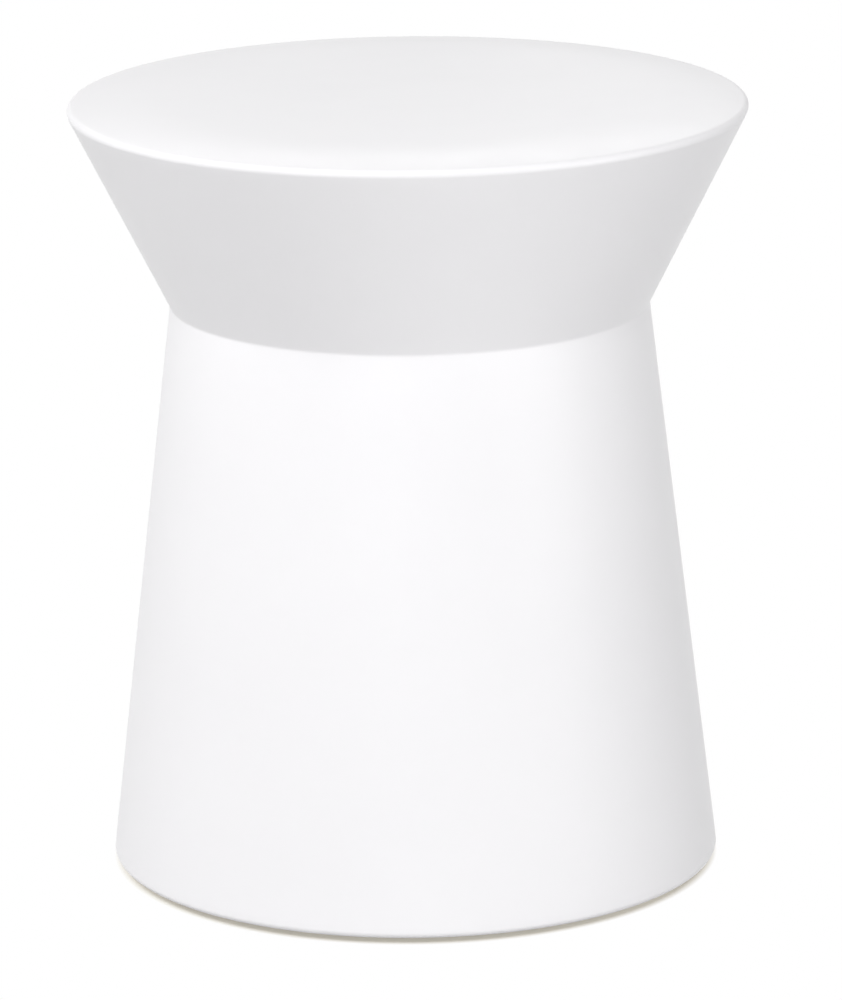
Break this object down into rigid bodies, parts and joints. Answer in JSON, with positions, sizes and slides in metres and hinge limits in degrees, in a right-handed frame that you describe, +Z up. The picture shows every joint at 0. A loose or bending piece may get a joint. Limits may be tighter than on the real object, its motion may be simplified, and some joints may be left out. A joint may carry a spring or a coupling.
{
  "type": "side table",
  "caption": "Round white side table made as two conical drums that meet at a narrow waist, with a flat top and a wide foot.",
  "frame": {"origin": "on the floor, below the centre of the round top", "axes": "+Z up, along the table's round axis; -Y is the front, and the skins' butt joints are at the sides, +X and -X"},
  "size_m": [0.4004, 0.4004, 0.467],
  "materials": {
    "white_lacquer": "white satin-gloss lacquer over fibreboard and bent plywood",
    "fibreboard": "raw medium density fibreboard",
    "plywood": "raw birch plywood with layered edges",
    "beech": "raw beech dowel",
    "zinc_plated_steel": "bright zinc plate",
    "nylon": "white moulded nylon"
  },
  "bodies": {
    "root": {"top_panel": "white_lacquer", "upper_skin_front": "white_lacquer", "upper_skin_rear": "white_lacquer", "lower_skin_front": "white_lacquer", "lower_skin_rear": "white_lacquer", "upper_collar_ring": "fibreboard", "upper_waist_disc": "fibreboard", "lower_waist_disc": "fibreboard", "base_ring": "fibreboard", "upper_rib_1": "plywood", "upper_rib_2": "plywood", "upper_rib_3": "plywood", "upper_rib_4": "plywood", "upper_rib_5": "plywood", "upper_rib_6": "plywood", "lower_rib_1": "plywood", "lower_rib_2": "plywood", "lower_rib_3": "plywood", "lower_rib_4": "plywood", "lower_rib_5": "plywood", "lower_rib_6": "plywood", "waist_bolts": "zinc_plated_steel", "waist_washers": "zinc_plated_steel", "waist_tee_nuts": "zinc_plated_steel", "top_screws": "zinc_plated_steel", "glide_screws": "zinc_plated_steel", "waist_dowels": "beech", "glide_1": "nylon", "glide_2": "nylon", "glide_3": "nylon", "glide_4": "nylon", "glide_5": "nylon", "glide_6": "nylon"}
  },
  "joints": []
}
